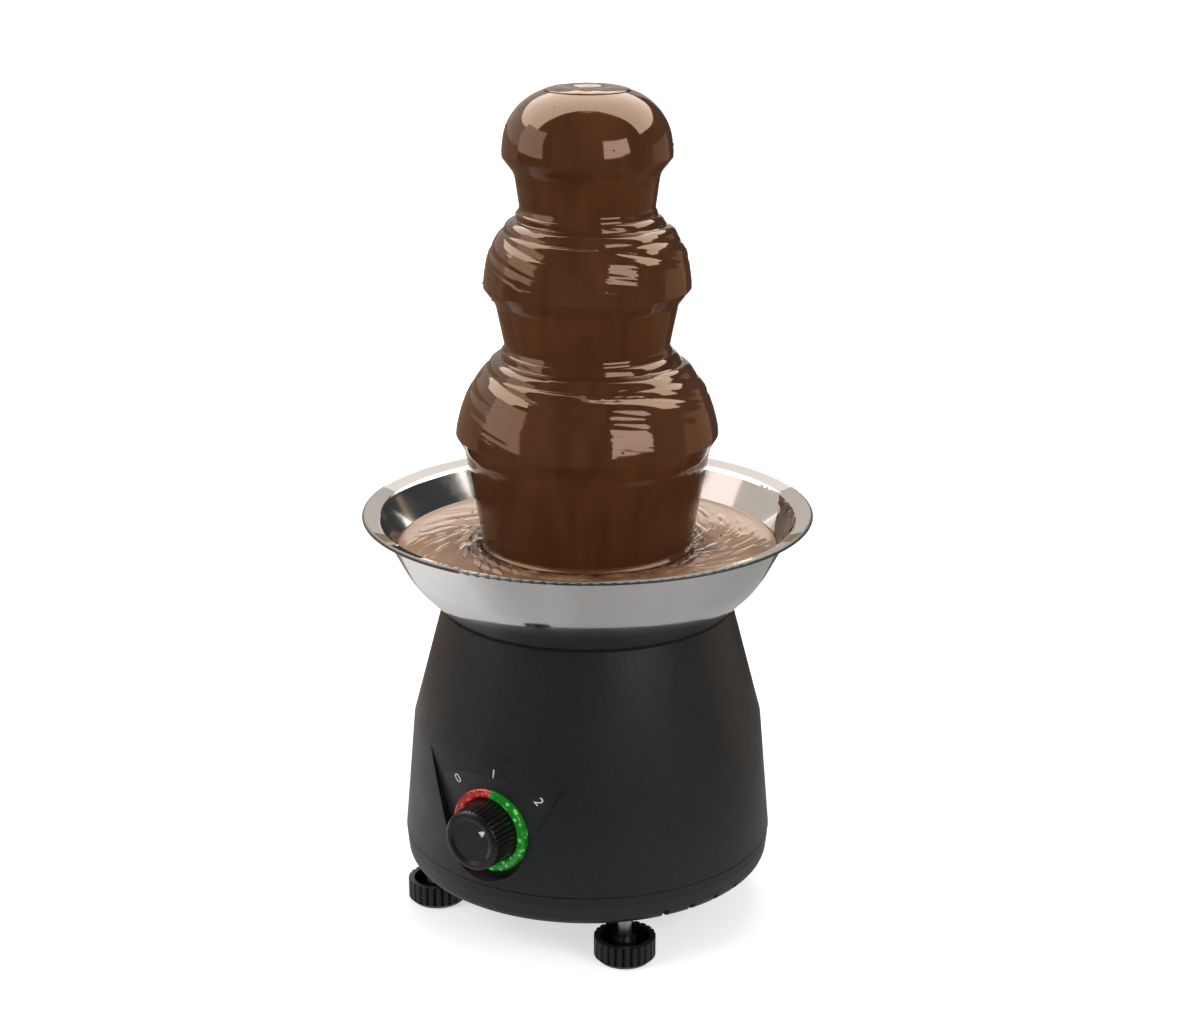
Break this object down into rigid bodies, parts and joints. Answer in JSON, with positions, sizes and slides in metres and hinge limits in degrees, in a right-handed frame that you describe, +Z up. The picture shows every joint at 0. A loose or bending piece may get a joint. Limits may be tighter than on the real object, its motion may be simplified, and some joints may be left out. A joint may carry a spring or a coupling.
{
  "type": "chocolate fountain",
  "caption": "Table-top chocolate fountain: black base on levelling feet, steel bowl, tiered tower with running chocolate, control knob and drive.",
  "frame": {"origin": "on the table under the axis of the tower", "axes": "+Z up along the tower axis, the control knob faces -Y"},
  "size_m": [0.2, 0.2, 0.3719],
  "materials": {
    "housing_black": "fine spark-eroded moulded black, slightly satin",
    "knob_black": "satin moulded black",
    "foot_black": "moulded black",
    "dark_plastic": "moulded phenolic",
    "black_rubber": "soft black",
    "seal_rubber": "food-safe silicone",
    "white_plastic": "moulded nylon",
    "board_green": "glass-fibre board",
    "lamp_clear": "clear lamp",
    "red_lens": "translucent moulded lens",
    "green_lens": "translucent moulded lens",
    "bowl_steel": "polished, faint circular polishing lines",
    "tower_steel": "polished",
    "shaft_steel": "ground",
    "plate_steel": "zinc plated sheet",
    "zinc_steel": "bright zinc",
    "thermostat_steel": "pressed can",
    "fuse_steel": "drawn case and clip",
    "element_steel": "heat-tinted sheath",
    "lamination_steel": "stacked laminations",
    "heater_aluminium": "die cast",
    "bronze": "sintered",
    "pinion_brass": "machined",
    "copper_enamel": "enamelled copper wire",
    "bearing_nylon": "turned nylon",
    "gear_nylon": "moulded nylon",
    "auger_plastic": "moulded food-safe plastic",
    "chocolate": "molten milk chocolate, very glossy, moving",
    "chocolate_pool": "molten milk chocolate with air bubbles and strands"
  },
  "bodies": {
    "root": {"base_tray": "housing_black", "tray_screws": "zinc_steel", "housing_shell": "housing_black", "cord_inlet": "black_rubber", "terminal_block": "white_plastic", "dial_ring_red": "red_lens", "dial_ring_green": "green_lens", "switch_body": "dark_plastic", "switch_nut": "zinc_steel", "lamp_board": "board_green", "indicator_lamps": "lamp_clear", "bowl": "bowl_steel", "bowl_gasket": "black_rubber", "bowl_pins": "zinc_steel", "bowl_nuts": "zinc_steel", "heater_plate": "heater_aluminium", "heater_element": "element_steel", "thermostat": "thermostat_steel", "thermal_fuse": "fuse_steel", "shaft_hub": "bearing_nylon", "hub_nut": "zinc_steel", "shaft_seal": "seal_rubber", "chocolate_pool": "chocolate_pool", "idler_pin": "zinc_steel", "gearbox_lower_plate": "plate_steel", "gearbox_upper_plate": "plate_steel", "gearbox_spacers": "plate_steel", "gearbox_screws": "zinc_steel", "output_bush": "bronze", "motor_stator": "lamination_steel", "coil_bobbin": "white_plastic", "motor_coil": "copper_enamel", "motor_bridge": "plate_steel", "motor_spacers": "plate_steel", "motor_screws": "zinc_steel", "rotor_bushes": "bronze", "foot_inserts": "bronze"},
    "tower": {"tower_tube": "tower_steel", "tier_lower": "tower_steel", "tier_middle": "tower_steel", "tier_clips": "tower_steel", "crown": "tower_steel", "chocolate_coat": "chocolate"},
    "auger": {"auger_screw": "auger_plastic", "chocolate_well": "chocolate"},
    "output": {"drive_shaft": "shaft_steel", "shaft_circlip": "zinc_steel", "output_gear": "gear_nylon"},
    "idler": {"idler_gear": "gear_nylon"},
    "rotor": {"motor_rotor": "lamination_steel", "rotor_shaft": "shaft_steel", "rotor_pinion": "pinion_brass"},
    "knob": {"control_knob": "knob_black", "switch_shaft": "shaft_steel"},
    "stud_rear": {"foot_stud_rear": "zinc_steel"},
    "cup_rear": {"foot_cup_rear": "foot_black"},
    "stud_left": {"foot_stud_left": "zinc_steel"},
    "cup_left": {"foot_cup_left": "foot_black"},
    "stud_right": {"foot_stud_right": "zinc_steel"},
    "cup_right": {"foot_cup_right": "foot_black"}
  },
  "joints": [
    {"name": "knob_turn", "type": "hinge", "parent": "root", "child": "knob", "pos_m": [0, -0.0915, 0.0595], "axis": [0, -1, 0], "range_deg": [0, 96]},
    {"name": "rotor_spin", "type": "hinge", "parent": "root", "child": "rotor", "pos_m": [0, 0, 0.055], "axis": [0, 0, 1], "continuous": true},
    {"name": "idler_spin", "type": "hinge", "parent": "root", "child": "idler", "pos_m": [0.03, 0, 0.085], "axis": [0, 0, 1], "continuous": true},
    {"name": "output_spin", "type": "hinge", "parent": "root", "child": "output", "pos_m": [0, 0, 0.1], "axis": [0, 0, 1], "continuous": true},
    {"name": "auger_lift", "type": "slide", "parent": "output", "child": "auger", "axis": [0, 0, 1], "range_m": [0, 0.235]},
    {"name": "tower_lift", "type": "slide", "parent": "root", "child": "tower", "axis": [0, 0, 1], "range_m": [0, 0.24]},
    {"name": "foot_travel_rear", "type": "slide", "parent": "root", "child": "stud_rear", "axis": [0, 0, -1], "range_m": [-0.003, 0.003]},
    {"name": "foot_turn_rear", "type": "hinge", "parent": "stud_rear", "child": "cup_rear", "pos_m": [0, 0.0702, 0.005], "axis": [0, 0, -1], "range_deg": [-1080, 1080]},
    {"name": "foot_travel_left", "type": "slide", "parent": "root", "child": "stud_left", "axis": [0, 0, -1], "range_m": [-0.003, 0.003]},
    {"name": "foot_turn_left", "type": "hinge", "parent": "stud_left", "child": "cup_left", "pos_m": [-0.05134, -0.04788, 0.005], "axis": [0, 0, -1], "range_deg": [-1080, 1080]},
    {"name": "foot_travel_right", "type": "slide", "parent": "root", "child": "stud_right", "axis": [0, 0, -1], "range_m": [-0.003, 0.003]},
    {"name": "foot_turn_right", "type": "hinge", "parent": "stud_right", "child": "cup_right", "pos_m": [0.05134, -0.04788, 0.005], "axis": [0, 0, -1], "range_deg": [-1080, 1080]}
  ],
  "couplings": [
    {"joint": "idler_spin", "follows": "rotor_spin", "ratio": -0.25},
    {"joint": "output_spin", "follows": "rotor_spin", "ratio": 0.0625}
  ]
}
